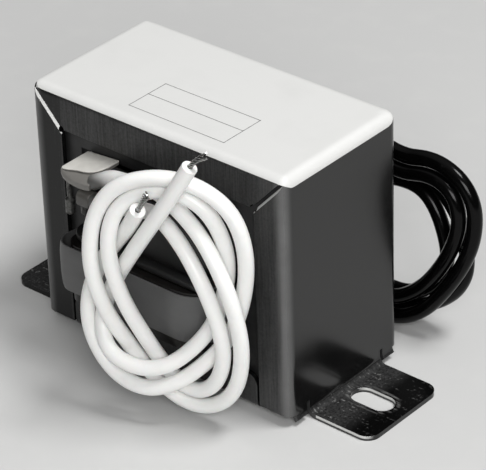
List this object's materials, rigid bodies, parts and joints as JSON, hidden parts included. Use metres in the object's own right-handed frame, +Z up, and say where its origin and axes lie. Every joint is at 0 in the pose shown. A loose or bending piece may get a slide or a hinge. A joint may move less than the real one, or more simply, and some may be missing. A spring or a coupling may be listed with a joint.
{
  "type": "spa light transformer",
  "caption": "Small laminated-core transformer in a folded steel channel frame with slotted feet, a split bobbin and knotted flying leads, for a spa light.",
  "frame": {"origin": "on the mounting surface, midway between the two slotted feet and midway through the frame's depth", "axes": "+X along the row of feet, +Y from the face with the white leads to the face with the black leads, +Z up"},
  "size_m": [0.0726, 0.0559, 0.0498],
  "materials": {
    "varnished_sheet": "satin varnish over steel sheet",
    "core_steel": "varnished lamination edges",
    "bobbin_nylon": "moulded nylon",
    "magnet_wire": "enamelled copper wire",
    "grey_tape": "polyester tape",
    "dark_tape": "polyester tape",
    "label_film": "satin polyester film",
    "white_insulation": "satin vinyl",
    "black_insulation": "glossy vinyl",
    "tinned_metal": "tinned copper strands and solder"
  },
  "bodies": {
    "root": {"channel_frame": "varnished_sheet", "base_channel": "varnished_sheet", "e_laminations": "core_steel", "i_laminations": "core_steel", "bobbin": "bobbin_nylon", "primary_winding": "magnet_wire", "secondary_winding": "magnet_wire", "primary_wrap": "grey_tape", "secondary_wrap": "dark_tape", "label": "label_film", "white_lead_1": "white_insulation", "white_lead_2": "white_insulation", "black_lead_1": "black_insulation", "black_lead_2": "black_insulation", "white_strands_1": "tinned_metal", "white_strands_2": "tinned_metal", "black_strands_1": "tinned_metal", "black_strands_2": "tinned_metal", "white_joint_1": "tinned_metal", "white_joint_2": "tinned_metal", "black_joint_1": "tinned_metal", "black_joint_2": "tinned_metal"}
  },
  "joints": []
}
